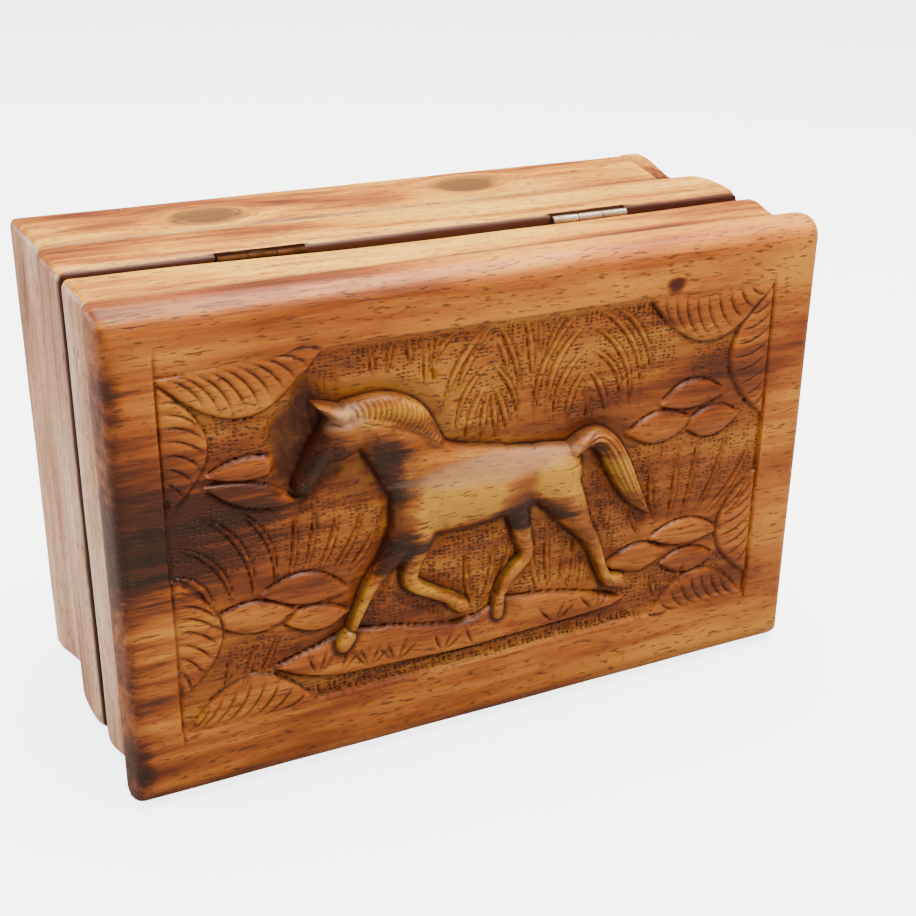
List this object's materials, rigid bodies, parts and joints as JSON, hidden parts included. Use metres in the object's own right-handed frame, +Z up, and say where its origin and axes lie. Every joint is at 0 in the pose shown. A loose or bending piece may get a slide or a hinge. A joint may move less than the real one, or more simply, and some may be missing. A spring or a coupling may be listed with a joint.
{
  "type": "wooden puzzle box",
  "caption": "Carved wooden puzzle box with a hinged lid, hidden sliding base mouldings, a concealed lock and a key pocket.",
  "frame": {"origin": "middle of the long front side that the box stands on, on the surface under it", "axes": "+X along the box to the right, +Z up from the front side to the hinge side, carved lid facing -Y and the box's bottom facing +Y"},
  "size_m": [0.1716, 0.081, 0.1126],
  "materials": {
    "carved_rosewood": "satin varnish over dark stained carving",
    "varnished_rosewood": "satin varnish",
    "raw_wood": "thinly oiled",
    "brass_leaf": "rolled sheet",
    "lock_brass": "dull, pressed sheet",
    "steel": "bright turned steel"
  },
  "bodies": {
    "box": {"wall_rear": "varnished_rosewood", "wall_front": "varnished_rosewood", "wall_left": "varnished_rosewood", "wall_right": "varnished_rosewood", "base_moulding_rear": "varnished_rosewood", "base_moulding_left": "varnished_rosewood", "bottom_panel": "raw_wood", "hinge_left_body_leaf": "brass_leaf", "hinge_right_body_leaf": "brass_leaf", "hinge_left_pin": "steel", "hinge_right_pin": "steel", "hinge_screws_body": "steel", "lock_back_plate": "lock_brass", "lock_case": "lock_brass", "lock_screws": "steel", "slide_stop_pins": "steel", "key": "lock_brass"},
    "lid": {"lid_panel": "carved_rosewood", "lid_rail_rear": "varnished_rosewood", "lid_rail_front": "varnished_rosewood", "lid_rail_left": "varnished_rosewood", "lid_rail_right": "varnished_rosewood", "hinge_left_lid_leaf": "brass_leaf", "hinge_right_lid_leaf": "brass_leaf", "hinge_screws_lid": "steel", "lid_keeper": "lock_brass", "keeper_screws": "steel"},
    "front_slide": {"base_moulding_front_slide": "varnished_rosewood"},
    "right_slide": {"base_moulding_right_slide": "varnished_rosewood"},
    "lock_bolt": {"lock_bolt": "steel"}
  },
  "joints": [
    {"name": "lid_hinge", "type": "hinge", "parent": "box", "child": "lid", "pos_m": [0, -0.0056, 0.1102], "axis": [-1, 0, 0], "range_deg": [0, 105]},
    {"name": "front_moulding_slide", "type": "slide", "parent": "box", "child": "front_slide", "axis": [1, 0, 0], "range_m": [0, 0.045]},
    {"name": "right_moulding_slide", "type": "slide", "parent": "box", "child": "right_slide", "axis": [0, 0, 1], "range_m": [0, 0.038]},
    {"name": "lock_bolt_throw", "type": "slide", "parent": "box", "child": "lock_bolt", "axis": [1, 0, 0], "range_m": [0, 0.005]}
  ]
}
